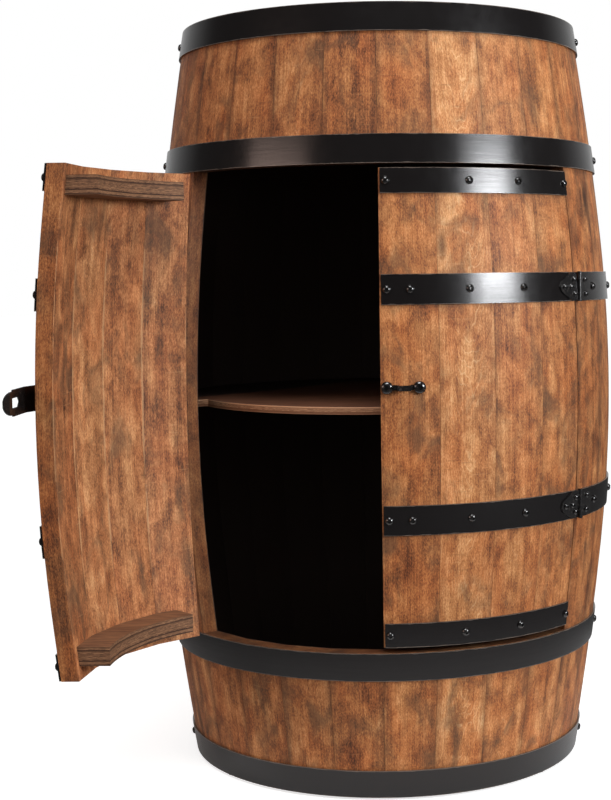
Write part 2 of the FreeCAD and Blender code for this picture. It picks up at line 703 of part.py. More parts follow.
# bands round the carcass
for node, z0 in full_hoops.items():
    band = shell(band_seat, band_outside, z0, z0 + hoop_width,
                 seam_half - seam_azimuth, seam_azimuth - seam_half)
    parts[node] = drilled(band, hoop_places)
for node, z in side_hoops.items():
    band = shell(band_seat, band_outside, z - hinge_strap_width / 2, z + hinge_strap_width / 2,
                 side_hoop_azimuth, 360 - side_hoop_azimuth)
    parts[node] = drilled(band, side_hoop_places + jamb_leaf_places)
parts["hoop_screws"] = screws(hoop_places)
parts["side_hoop_screws"] = screws(side_hoop_places)
parts["jamb_leaf_screws"] = screws(jamb_leaf_places)

# doors with their straps, ribs and hinges
strap_levels = (
    (door_top_z - end_strap_width, door_top_z, top_strap_screws),
    (upper_hinge_z - hinge_strap_width / 2, upper_hinge_z + hinge_strap_width / 2, hinge_strap_screws),
    (lower_hinge_z - hinge_strap_width / 2, lower_hinge_z + hinge_strap_width / 2, hinge_strap_screws),
    (door_bottom_z, door_bottom_z + end_strap_width, end_strap_screws),
)
for side, name in ((-1, "left"), (1, "right")):
    strap_places = [seat(side * staves * stave_pitch, (z0 + z1) / 2, band_outside, BAND_SCREW)
                    for z0, z1, screw_staves in strap_levels for staves in screw_staves]
    leaf_places = [place for z in (lower_hinge_z, upper_hinge_z)
                   for place in leaf_screw_places(side, z, on_door=True)]
    lock_places = hasp_screw_places() if side < 0 else staple_screw_places()
    door_places = strap_places + leaf_places + lock_places
    staves = front_staves(side, door_bottom_z, door_top_z, free_edge_azimuth, hinge_edge_azimuth)
    for i, body in enumerate(staves):
        parts[f"{name}_door_stave_{i + 1}"] = drilled(body, door_places)
    for i, (z0, z1, _) in enumerate(strap_levels):
        azimuth0, azimuth1 = side_range(side, strap_free_azimuth, strap_hinge_azimuth)
        band = shell(band_seat, band_outside, z0, z1, azimuth0, azimuth1)
        parts[f"{name}_door_strap_{i + 1}"] = drilled(band, strap_places + leaf_places)
    parts[f"{name}_upper_rib"] = rib(side, door_top_z - upper_rib_inset - rib_thickness)
    parts[f"{name}_lower_rib"] = rib(side, door_bottom_z + lower_rib_inset)
    parts[f"{name}_strap_screws"] = screws(strap_places)
    parts[f"{name}_door_leaf_screws"] = screws(leaf_places)
    for level, z in (("lower", lower_hinge_z), ("upper", upper_hinge_z)):
        parts[f"{name}_{level}_door_leaf"] = drilled(leaf(side, z, True), leaf_places)
        parts[f"{name}_{level}_jamb_leaf"] = drilled(leaf(side, z, False), jamb_leaf_places)
    parts[f"{name}_hinge_pins"] = Part.makeCompound(
        [hinge_pin(side, z) for z in (lower_hinge_z, upper_hinge_z)])
parts["hasp_plate"] = drilled(hasp_plate(), hasp_screw_places())
parts["hasp_plate_screws"] = screws(hasp_screw_places())
parts["hasp_pin"] = hasp_pin()
parts["hasp_flap"] = hasp_flap()
parts["staple"] = drilled(staple(), staple_screw_places())
parts["staple_screws"] = screws(staple_screw_places())

# the stored pose: left door open with its hasp swung out
parts["hasp_flap"].rotate(hasp_axis(), UP, -hasp_rest_angle)
on_left_door = ["left_door_stave_", "left_door_strap_", "left_upper_rib", "left_lower_rib",
                "left_strap_screws", "left_door_leaf_screws", "left_lower_door_leaf",
                "left_upper_door_leaf", "hasp_"]
for node, shape in parts.items():
    if node.startswith(tuple(on_left_door)):
        shape.rotate(hinge_axis(-1), UP, -left_door_open)

for node, shape in parts.items():
    shape.exportStep(f"parts/{node}.step")
    print(f"{node:26s} solids {len(shape.Solids):3d} valid {shape.isValid()} volume {shape.Volume:.0f}")
left_axis = hinge_axis(-1)
swing = FreeCAD.Rotation(UP, -left_door_open)
stored_hasp_axis = left_axis + swing.multVec(hasp_axis() - left_axis)
print("left hinge", left_axis, "right hinge", hinge_axis(1), "hasp", stored_hasp_axis)
print("nodes", len(parts))
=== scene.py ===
"""Barrel bar cabinet: stained birch staves, black steel bands and the light they stand in.

Metres, +Z up, the doors face -Y.  A stave is found from its azimuth round the barrel's axis, as
in the part's source, so grain runs along each stave and stays on it when a door swings.
"""
import json
import math
import bmesh
import bpy
from mathutils import Matrix, Vector


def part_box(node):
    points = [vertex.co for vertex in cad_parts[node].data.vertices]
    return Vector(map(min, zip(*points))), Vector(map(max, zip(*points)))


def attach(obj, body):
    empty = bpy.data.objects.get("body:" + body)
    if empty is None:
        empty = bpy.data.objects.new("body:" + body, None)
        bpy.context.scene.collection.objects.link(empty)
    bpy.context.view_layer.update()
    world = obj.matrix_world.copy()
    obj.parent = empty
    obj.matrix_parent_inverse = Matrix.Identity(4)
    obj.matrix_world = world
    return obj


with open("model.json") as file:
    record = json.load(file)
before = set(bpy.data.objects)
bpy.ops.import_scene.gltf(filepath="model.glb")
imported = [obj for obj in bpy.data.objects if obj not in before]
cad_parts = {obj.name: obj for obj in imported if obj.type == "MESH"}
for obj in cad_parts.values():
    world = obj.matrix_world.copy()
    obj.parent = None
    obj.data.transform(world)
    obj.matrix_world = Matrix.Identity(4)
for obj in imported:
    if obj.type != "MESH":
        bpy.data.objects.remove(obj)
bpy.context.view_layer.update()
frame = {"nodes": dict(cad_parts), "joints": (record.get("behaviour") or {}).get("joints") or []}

nodes = frame["nodes"]

# sizes that the patterns follow, in metres
GLIDE = 0.003                           # the staves stand on glides of this height
BARREL_HEIGHT = 0.8
HALF_HEIGHT = BARREL_HEIGHT / 2
MIDDLE = GLIDE + HALF_HEIGHT
STAVE_COUNT = 27
STAVE_TURN = math.radians(360 / STAVE_COUNT)    # one stave's share of the circle
STAVE_THICKNESS = 0.018
DOOR_STAVES = 4
HEAD_BOARDS = 5

# the skin bends along a hyperbola, from 256 mm at mid height to 215.5 mm at the rims
BELLY_RADIUS = 0.256
SKIN_BEND = 0.08198
SKIN_REACH = 0.765                      # of half the height

# the left door is stored open by this turn about its hinge
DOOR_TURN = math.pi / 2
left_hinge = next(joint for joint in frame["joints"] if joint["name"] == "left_door_hinge")
LEFT_HINGE = Vector((left_hinge["pos_m"][0], left_hinge["pos_m"][1], 0))

# the inside is black between the two heads' inner faces
BLACK_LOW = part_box("bottom_head")[1].z
BLACK_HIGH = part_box("top_head")[0].z
FACE_SKIN = 0.0005                      # how deep the black reaches into a head

# ---- camera -------------------------------------------------------------------------------
# 1.74 m in front of the axis and 0.53 m up, looking 4 degrees down; angles in radians
YAW, PITCH, ROLL = -0.0103, 0.0685, -0.0125
EYE = Vector((0.0156, -1.74487, 0.53445))
forward = Vector((math.sin(YAW) * math.cos(PITCH), math.cos(YAW) * math.cos(PITCH), -math.sin(PITCH)))
level = Vector((math.cos(YAW), -math.sin(YAW), 0))
upright = level.cross(forward)
right = level * math.cos(ROLL) + upright * math.sin(ROLL)
up = upright * math.cos(ROLL) - level * math.sin(ROLL)
lens = bpy.data.cameras.new("camera")
lens.sensor_width = 36
lens.lens = 68.94
lens.shift_x, lens.shift_y = -0.0931, -0.025
camera = bpy.data.objects.new("camera", lens)
camera.matrix_world = Matrix.Translation(EYE) @ Matrix((right, up, -forward)).transposed().to_4x4()
bpy.context.scene.collection.objects.link(camera)
bpy.context.scene.camera = camera


# ---- making materials ---------------------------------------------------------------------
def linear(colour):
    """An sRGB hex colour as linear red, green, blue and alpha."""
    channels = [int(colour[i:i + 2], 16) / 255 for i in (1, 3, 5)]
    return [c / 12.92 if c <= 0.04045 else ((c + 0.055) / 1.055) ** 2.4 for c in channels] + [1]


def add(material, kind, inputs=None, output=0, **settings):
    """Adds one shader node with its settings and inputs, and gives the output that is used."""
    node = material.node_tree.nodes.new("ShaderNode" + kind)
    for name, value in settings.items():
        setattr(node, name, value)
    for key, value in (inputs or {}).items():
        if isinstance(value, bpy.types.NodeSocket):
            material.node_tree.links.new(value, node.inputs[key])
        else:
            node.inputs[key].default_value = value
    return node.outputs[output] if output is not None else None


def new_material(name):
    material = bpy.data.materials.new(name)
    material.use_nodes = True
    material.node_tree.nodes.clear()
    return material


def finish_surface(material, colour, roughness, specular, normal=None):
    """The shader itself, joined to the material's output."""
    inputs = {"Base Color": colour, "Roughness": roughness, "Specular IOR Level": specular}
    if normal is not None:
        inputs["Normal"] = normal
    shader = add(material, "BsdfPrincipled", inputs)
    add(material, "OutputMaterial", {"Surface": shader}, output=None)


def object_place(m, on_open_door):
    """Object coordinates; on the door that is stored open, turned back to the closed place."""
    place = add(m, "TexCoord", output="Object")
    if not on_open_door:
        return place
    shift = LEFT_HINGE - Matrix.Rotation(DOOR_TURN, 3, "Z") @ LEFT_HINGE
    return add(m, "Mapping", {"Vector": place, "Location": shift, "Rotation": (0, 0, DOOR_TURN)})


def stave_place(m, on_open_door):
    """Where a point lies on its stave: across it, under its face and up, and the stave's number."""
    place = object_place(m, on_open_door)
    x = add(m, "SeparateXYZ", {0: place}, output=0)
    y, z = x.node.outputs[1], x.node.outputs[2]
    front = add(m, "Math", {0: y, 1: -1.0}, operation="MULTIPLY")
    azimuth = add(m, "Math", {0: x, 1: front}, operation="ARCTAN2")
    turns = add(m, "Math", {0: azimuth, 1: STAVE_TURN}, operation="DIVIDE")
    whole = add(m, "Math", {0: turns}, operation="FLOOR")
    number = add(m, "Math", {0: whole, 1: float(STAVE_COUNT)}, operation="FLOORED_MODULO")
    part = add(m, "Math", {0: turns}, operation="FRACT")
    part = add(m, "Math", {0: part, 1: 0.5}, operation="SUBTRACT")
    local = add(m, "Math", {0: part, 1: STAVE_TURN}, operation="MULTIPLY")
    flat = add(m, "VectorMath", {0: place, 1: (1, 1, 0)}, operation="MULTIPLY")
    radius = add(m, "VectorMath", {0: flat}, output=1, operation="LENGTH")
    sine = add(m, "Math", {0: local}, operation="SINE")
    across = add(m, "Math", {0: sine, 1: radius}, operation="MULTIPLY")
    cosine = add(m, "Math", {0: local}, operation="COSINE")
    out = add(m, "Math", {0: cosine, 1: radius}, operation="MULTIPLY")
    share = add(m, "Math", {0: z, 1: MIDDLE}, operation="SUBTRACT")
    share = add(m, "Math", {0: share, 1: HALF_HEIGHT}, operation="DIVIDE")
    bow = add(m, "Math", {0: share, 1: share, 2: SKIN_REACH ** 2}, operation="MULTIPLY_ADD")
    bow = add(m, "Math", {0: bow}, operation="SQRT")
    skin = add(m, "Math", {0: bow, 1: -SKIN_BEND, 2: BELLY_RADIUS + SKIN_BEND * SKIN_REACH},
               operation="MULTIPLY_ADD")
    depth = add(m, "Math", {0: skin, 1: out}, operation="SUBTRACT")
    point = add(m, "CombineXYZ", {0: across, 1: depth, 2: z})
    return point, across, depth, z, number


# ---- stained birch ------------------------------------------------------------------------
STAINS = ((0.0, "#36241a"), (0.24, "#6b442b"), (0.44, "#99643c"), (0.62, "#b78050"),
          (0.80, "#cd9966"), (1.0, "#e0b687"))     # from the darkest take-up to the barest wood
SMOKE = "#57402e"           # grey brown clouds and saw marks
KNOT = "#2c1a12"            # knots, pores and end grain, and the painted shade on end grain that faces down
GROWTH_LINE = "#e6bd8b"
BARE_MARK = "#dcae7c"
SAWN_SIDE = "#3a281f"
BARE_ARRIS = "#dcae80"
INSIDE_BLACK = "#463933"
PALE_STAVE = 1              # the lightest, second to the right of the doors' meeting line
DARK_STAVE = 26             # the left door's first, a little darker
FIRST_BOARD = 40.0          # heads' boards are numbered from here, past the staves
OILED_GLOSS = 0.26          # specular level of the oiled wood
ARCH_SPACING = 0.019        # from one growth line to the next, up the middle of its arch
ARCH_BEND = 190.0           # so that an arch has fallen 19 mm at 10 mm from its middle
ARCH_WANDER = 0.09          # noise lifts an arch by up to this


def stretched(m, point, width, length, detail, roughness, distortion=0.0):
    """Noise drawn out along the grain: cells of a width across it and a length along it, in metres."""
    cells = add(m, "VectorMath", {0: point, 1: (width, width, length)}, operation="DIVIDE")
    return add(m, "TexNoise", {"Vector": cells, "Scale": 1.0, "Detail": detail,
                               "Roughness": roughness, "Distortion": distortion})


def stain_take_up(m, own, roll, number):
    """How much stain the wood took, with what it is made of that later steps use again."""
    # flecks of 1 by 2.5 mm, streaks of 1.4 by 80 mm, bands of 11 by 200 mm, blotches of 16 by 26 mm
    flecks = stretched(m, own, 0.0010, 0.0025, 2.0, 0.7)
    streaks = stretched(m, own, 0.0014, 0.08, 1.5, 0.5)
    bands = stretched(m, own, 0.011, 0.2, 2.0, 0.5, 0.4)
    blotches = stretched(m, own, 0.016, 0.026, 3.5, 0.55, 0.5)
    tone = add(m, "MapRange", {"Value": roll, "To Min": -0.98, "To Max": -0.89})
    pale = add(m, "Math", {0: number, 1: float(PALE_STAVE), 2: 0.1}, operation="COMPARE")
    dark = add(m, "Math", {0: number, 1: float(DARK_STAVE), 2: 0.1}, operation="COMPARE")
    tone = add(m, "Math", {0: pale, 1: 0.16, 2: tone}, operation="MULTIPLY_ADD")
    tone = add(m, "Math", {0: dark, 1: -0.04, 2: tone}, operation="MULTIPLY_ADD")
    for pattern, share in ((flecks, 1.02), (streaks, 0.44), (bands, 0.48), (blotches, 0.93)):
        tone = add(m, "Math", {0: pattern, 1: share, 2: tone}, operation="MULTIPLY_ADD")
    return tone, pale, flecks, blotches


def stain_colour(m, tone, own):
    """The stain's colour for a take-up, from ochre to russet in patches of 25 by 60 mm."""
    base = add(m, "ValToRGB", {0: tone})
    ramp = base.node.color_ramp
    for place, _ in STAINS[1:-1]:
        ramp.elements.new(place)
    for stop, (place, colour) in zip(ramp.elements, STAINS):
        stop.position, stop.color = place, linear(colour)
    warmth = stretched(m, own, 0.025, 0.06, 3.0, 0.5, 0.5)
    warm = add(m, "MapRange", {"Value": warmth, "From Min": 0.36, "From Max": 0.64})
    tint = add(m, "Mix", {"Factor": warm, 6: (1.0, 0.92, 0.86, 1), 7: (1.0, 0.77, 0.64, 1)}, output=2,
               data_type="RGBA")
    return add(m, "Mix", {"Factor": 1.0, 6: base, 7: tint}, output=2, data_type="RGBA",
               blend_type="MULTIPLY")


def growth_arches(m, base, point, own, roll, pale, blotches):
    """Pale growth lines in nested arches, clear on the pale stave and faint on about half of the rest."""
    roll_b, roll_c = roll.node.outputs[1], roll.node.outputs[2]
    x = add(m, "SeparateXYZ", {0: point}, output=0)
    heart = add(m, "MapRange", {"Value": roll_b, "To Min": -0.012, "To Max": 0.012})
    side = add(m, "Math", {0: x, 1: heart}, operation="SUBTRACT")
    side = add(m, "Math", {0: side, 1: side}, operation="MULTIPLY")
    wander = stretched(m, own, 0.016, 0.05, 2.0, 0.5)
    rise = add(m, "Math", {0: side, 1: -ARCH_BEND, 2: x.node.outputs[2]}, operation="MULTIPLY_ADD")
    rise = add(m, "Math", {0: wander, 1: ARCH_WANDER, 2: rise}, operation="MULTIPLY_ADD")
    arch = add(m, "Math", {0: rise, 1: ARCH_SPACING}, operation="DIVIDE")
    arch = add(m, "Math", {0: arch}, operation="FRACT")
    line = add(m, "MapRange", {"Value": arch, "From Min": 0.80, "From Max": 0.95},
               interpolation_type="SMOOTHSTEP")
    show = add(m, "MapRange", {"Value": roll_c, "From Min": 0.5, "From Max": 1.0, "To Max": 0.16})
    show = add(m, "Math", {0: pale, 1: 0.5, 2: show}, operation="MULTIPLY_ADD")
    patchy = add(m, "MapRange", {"Value": blotches, "From Min": 0.42, "From Max": 0.62})
    show = add(m, "Math", {0: show, 1: patchy}, operation="MULTIPLY")
    line = add(m, "Math", {0: line, 1: show}, operation="MULTIPLY")
    return add(m, "Mix", {"Factor": line, 6: base, 7: linear(GROWTH_LINE)}, output=2, data_type="RGBA")


def clouds_and_pores(m, base, own):
    """Grey clouds, 34 by 58 mm, and dark pores under 1 mm wide and 5 mm long."""
    clouds = stretched(m, own, 0.034, 0.058, 5.0, 0.6, 0.8)
    cloud = add(m, "MapRange", {"Value": clouds, "From Min": 0.48, "From Max": 0.70, "To Max": 0.66},
                interpolation_type="SMOOTHSTEP")
    base = add(m, "Mix", {"Factor": cloud, 6: base, 7: linear(SMOKE)}, output=2, data_type="RGBA")
    pores = stretched(m, own, 0.0009, 0.005, 2.0, 0.7)
    pore = add(m, "MapRange", {"Value": pores, "From Min": 0.57, "From Max": 0.72, "To Max": 0.24})
    base = add(m, "Mix", {"Factor": pore, 6: base, 7: linear(KNOT)}, output=2, data_type="RGBA")
    return base, clouds, pore


def saw_marks(m, base, own):
    """Marks of the saw, 2.2 mm by 30 mm, straight across the grain, dark or bare."""
    marks = stretched(m, own, 0.03, 0.0022, 2.0, 0.5)
    mark = add(m, "MapRange", {"Value": marks, "From Min": 0.64, "From Max": 0.76, "To Max": 0.24})
    base = add(m, "Mix", {"Factor": mark, 6: base, 7: linear(SMOKE)}, output=2, data_type="RGBA")
    mark = add(m, "MapRange", {"Value": marks, "From Min": 0.33, "From Max": 0.25, "To Max": 0.16})
    return add(m, "Mix", {"Factor": mark, 6: base, 7: linear(BARE_MARK)}, output=2, data_type="RGBA")


def knots(m, base, own):
    """A few small dark knots with soft edges, in cells of 60 by 170 mm."""
    cells = add(m, "VectorMath", {0: own, 1: (0.06, 0.06, 0.17)}, operation="DIVIDE")
    cells = add(m, "TexVoronoi", {"Vector": cells, "Scale": 1.0, "Randomness": 1.0})
    picked = add(m, "SeparateColor", {0: cells.node.outputs["Color"]})
    picked = add(m, "Math", {0: picked, 1: 0.72}, operation="GREATER_THAN")
    knot = add(m, "MapRange", {"Value": cells, "From Min": 0.04, "From Max": 0.14, "To Min": 0.85,
                               "To Max": 0.0}, interpolation_type="SMOOTHSTEP")
    knot = add(m, "Math", {0: knot, 1: picked}, operation="MULTIPLY")
    return add(m, "Mix", {"Factor": knot, 6: base, 7: linear(KNOT)}, output=2, data_type="RGBA")


def birch_colour(m, point, number):
    """Colour, fine height and clouds of stained birch on one stave or board."""
    chance = add(m, "TexWhiteNoise", {"W": number}, output=1, noise_dimensions="1D")
    roll = add(m, "SeparateColor", {0: chance}, output=0)
    seed = add(m, "VectorMath", {0: chance, 1: (7.0, 7.0, 7.0)}, operation="MULTIPLY")
    own = add(m, "VectorMath", {0: point, 1: seed}, operation="ADD")
    tone, pale, flecks, blotches = stain_take_up(m, own, roll, number)
    base = stain_colour(m, tone, own)
    base = growth_arches(m, base, point, own, roll, pale, blotches)
    base, clouds, pore = clouds_and_pores(m, base, own)
    base = knots(m, saw_marks(m, base, own), own)
    height = add(m, "Math", {0: pore, 1: -1.4, 2: flecks}, operation="MULTIPLY_ADD")
    return base, height, clouds


def dark_end_grain_and_shade_below(m, base):
    """Dark end grain, darkest where it faces down: the extra dark below is painted shade."""
    normal = add(m, "TexCoord", output="Normal")
    facing = add(m, "SeparateXYZ", {0: normal}, output=2)
    up = add(m, "MapRange", {"Value": facing, "From Min": 0.75, "From Max": 0.85, "To Max": 0.50})
    # end grain that faces down is painted darker than end grain facing up: painted shade
    down = add(m, "MapRange", {"Value": facing, "From Min": -0.75, "From Max": -0.85, "To Max": 0.85})
    dark = add(m, "Math", {0: up, 1: down}, operation="MAXIMUM")
    return add(m, "Mix", {"Factor": dark, 6: base, 7: linear(KNOT)}, output=2, data_type="RGBA")


def black_inside(m, base, z, inside, roughness):
    """Matt black on the inside of the staves, between the two heads."""
    low = add(m, "Math", {0: z, 1: BLACK_LOW}, operation="GREATER_THAN")
    high = add(m, "Math", {0: z, 1: BLACK_HIGH}, operation="LESS_THAN")
    black_mask = add(m, "Math", {0: inside, 1: low}, operation="MULTIPLY")
    black_mask = add(m, "Math", {0: black_mask, 1: high}, operation="MULTIPLY")
    base = add(m, "Mix", {"Factor": black_mask, 6: base, 7: linear(INSIDE_BLACK)}, output=2,
               data_type="RGBA")
    return base, add(m, "Mix", {0: black_mask, 2: roughness, 3: 0.85})


def dry_inside(m, base, point, across, depth, inside):
    """The doors' inside: a little lighter and greyer, with bare wood on the staves' arrises."""
    base = add(m, "HueSaturation", {"Fac": inside, "Color": base, "Saturation": 0.965,
                                    "Value": 1.08})
    edge = add(m, "Math", {0: across}, operation="ABSOLUTE")
    half_width = math.tan(STAVE_TURN / 2)
    out = add(m, "Math", {0: depth, 1: -half_width, 2: BELLY_RADIUS * half_width},
              operation="MULTIPLY_ADD")
    edge = add(m, "Math", {0: out, 1: edge}, operation="SUBTRACT")
    worn = stretched(m, point, 0.004, 0.06, 3.0, 0.6)
    reach = add(m, "MapRange", {"Value": worn, "From Min": 0.38, "From Max": 0.62, "To Min": 0.0003,
                                "To Max": 0.0021})
    bare = add(m, "Math", {0: edge, 1: reach}, operation="LESS_THAN")
    bare = add(m, "Math", {0: bare, 1: inside}, operation="MULTIPLY")
    bare = add(m, "Math", {0: bare, 1: 0.45}, operation="MULTIPLY")
    return add(m, "Mix", {"Factor": bare, 6: base, 7: linear(BARE_ARRIS)}, output=2,
               data_type="RGBA")


def oiled(m, base, height, roughness):
    """Oil on sanded wood: a low satin sheen over a fine grain that can be felt."""
    bump = add(m, "Bump", {"Height": height, "Strength": 0.45, "Distance": 0.0004})
    finish_surface(m, base, roughness, OILED_GLOSS, bump)


def stained_birch(name, on_open_door=False, painted_inside=False):
    """Bent birch staves, sanded, stained walnut and oiled: a low satin sheen, darker end grain, with
    painted shade where it faces down.
    """
    m = new_material(name)
    point, across, depth, z, number = stave_place(m, on_open_door)
    base, height, clouds = birch_colour(m, point, number)
    base = dark_end_grain_and_shade_below(m, base)
    inside = add(m, "MapRange", {"Value": depth, "From Min": STAVE_THICKNESS - 0.0009,
                                 "From Max": STAVE_THICKNESS - 0.0004})
    # the sawn sides of the staves are darker than the sanded outside
    sawn = add(m, "MapRange", {"Value": depth, "From Min": 0.0008, "From Max": 0.0016,
                               "To Max": 0.42 if painted_inside else 0.14})
    sawn = add(m, "Math", {0: sawn, 1: inside}, operation="SUBTRACT", use_clamp=True)
    base = add(m, "Mix", {"Factor": sawn, 6: base, 7: linear(SAWN_SIDE)}, output=2, data_type="RGBA")
    roughness = add(m, "MapRange", {"Value": clouds, "To Min": 0.46, "To Max": 0.66})
    if painted_inside:
        base, roughness = black_inside(m, base, z, inside, roughness)
    else:
        base = dry_inside(m, base, point, across, depth, inside)
    oiled(m, base, height, roughness)
    return m


def head_boards(name, left, board_width):
    """Flat birch boards of a head, their grain from front to back, black where they face inside."""
    m = new_material(name)
    place = add(m, "TexCoord", output="Object")
    x = add(m, "SeparateXYZ", {0: place}, output=0)
    y, z = x.node.outputs[1], x.node.outputs[2]
    number = add(m, "Math", {0: x, 1: left}, operation="SUBTRACT")
    number = add(m, "Math", {0: number, 1: board_width}, operation="DIVIDE")
    number = add(m, "Math", {0: number}, operation="FLOOR")
    number = add(m, "Math", {0: number, 1: FIRST_BOARD}, operation="ADD")
    point = add(m, "CombineXYZ", {0: x, 1: z, 2: y})
    base, height, clouds = birch_colour(m, point, number)
    low = add(m, "Math", {0: z, 1: BLACK_LOW - FACE_SKIN}, operation="GREATER_THAN")
    high = add(m, "Math", {0: z, 1: BLACK_HIGH + FACE_SKIN}, operation="LESS_THAN")
    black_mask = add(m, "Math", {0: low, 1: high}, operation="MULTIPLY")
    base = add(m, "Mix", {"Factor": black_mask, 6: base, 7: linear(INSIDE_BLACK)}, output=2,
               data_type="RGBA")
    roughness = add(m, "MapRange", {"Value": clouds, "To Min": 0.46, "To Max": 0.66})
    oiled(m, base, height, roughness)
    return m


# ---- plywood ------------------------------------------------------------------------------
RIB_PLY, SHELF_PLY = 0.00125, 0.0019    # thickness of one ply
GLUE_SEAM = "#24160f"

# where the shelf's top turns black, a guess: 143 mm out from the middle the edge lies 22 mm behind the
# axis, further out it comes forward, and nowhere does it lie further back than 172 mm
BLACK_TOP_OUT, BLACK_TOP_EDGE, BLACK_TOP_BACK = 0.143, 0.022, 0.172
BLACK_TOP_SLOPE, BLACK_TOP_BEND = 1.31, 2.658


def plies(m, place, foot, ply, dark, light):
    """Cut plies in layers: most brown, some bare and light, each broken along its length."""
    z = add(m, "SeparateXYZ", {0: place}, output=2)
    rise = add(m, "Math", {0: z, 1: foot}, operation="SUBTRACT")
    along = add(m, "VectorMath", {0: place, 1: (0.03, 0.03, 0.02)}, operation="DIVIDE")
    drift = add(m, "TexNoise", {"Vector": along, "Scale": 1.0, "Detail": 4.0, "Roughness": 0.65})
    wave = add(m, "Math", {0: drift, 1: 0.0016, 2: rise}, operation="MULTIPLY_ADD")
    layer = add(m, "Math", {0: wave, 1: ply}, operation="DIVIDE")
    which = add(m, "Math", {0: layer}, operation="FLOOR")
    inside = add(m, "Math", {0: layer}, operation="FRACT")
    chance = add(m, "TexWhiteNoise", {"W": which}, noise_dimensions="1D")
    fine = add(m, "VectorMath", {0: place, 1: (0.006, 0.006, 0.0009)}, operation="DIVIDE")
    fine = add(m, "TexNoise", {"Vector": fine, "Scale": 1.0, "Detail": 3.0, "Roughness": 0.6})
    tone = add(m, "Math", {0: drift, 1: 0.9, 2: chance}, operation="MULTIPLY_ADD")
    tone = add(m, "Math", {0: fine, 1: 0.7, 2: tone}, operation="MULTIPLY_ADD")
    tone = add(m, "MapRange", {"Value": tone, "From Min": 0.75, "From Max": 1.85, "To Max": 0.42})
    base = add(m, "Mix", {"Factor": tone, 6: linear(dark), 7: linear(light)}, output=2,
               data_type="RGBA")
    # by chance a seam shows as a thin bare line, and otherwise as a thin dark one
    seam = add(m, "MapRange", {"Value": inside, "From Min": 0.18, "From Max": 0.30, "To Min": 1.0,
                               "To Max": 0.0})
    odd = add(m, "MapRange", {"Value": chance, "From Min": 0.15, "From Max": 0.45})
    streak = add(m, "MapRange", {"Value": fine, "From Min": 0.36, "From Max": 0.60})
    bare = add(m, "Math", {0: seam, 1: odd}, operation="MULTIPLY")
    bare = add(m, "Math", {0: bare, 1: streak}, operation="MULTIPLY")
    base = add(m, "Mix", {"Factor": bare, 6: base, 7: linear(light)}, output=2, data_type="RGBA")
    glue = add(m, "Math", {0: seam, 1: bare}, operation="SUBTRACT", use_clamp=True)
    glue = add(m, "Math", {0: glue, 1: 0.5}, operation="MULTIPLY")
    return add(m, "Mix", {"Factor": glue, 6: base, 7: linear(GLUE_SEAM)}, output=2, data_type="RGBA")


def rib_plywood(name, foot, on_open_door):
    """Birch plywood sawn to a curve and stained dark: fine light and dark plies all round its edge."""
    m = new_material(name)
    place = object_place(m, on_open_door)
    base = plies(m, place, foot, RIB_PLY, "#3b251b", "#b58561")
    face = add(m, "VectorMath", {0: place, 1: (0.004, 0.03, 0.004)}, operation="DIVIDE")
    veneer = add(m, "TexNoise", {"Vector": face, "Scale": 1.0, "Detail": 4.0, "Roughness": 0.6})
    veneer = add(m, "MapRange", {"Value": veneer, "From Min": 0.3, "From Max": 0.7})
    veneer = add(m, "Mix", {"Factor": veneer, 6: linear("#56382a"), 7: linear("#8f6446")}, output=2,
                 data_type="RGBA")
    normal = add(m, "TexCoord", output="Normal")
    flat = add(m, "SeparateXYZ", {0: normal}, output=2)
    flat = add(m, "Math", {0: flat}, operation="ABSOLUTE")
    flat = add(m, "Math", {0: flat, 1: 0.8}, operation="GREATER_THAN")
    base = add(m, "Mix", {"Factor": flat, 6: base, 7: veneer}, output=2, data_type="RGBA")
    finish_surface(m, base, 0.62, 0.25)
    return m


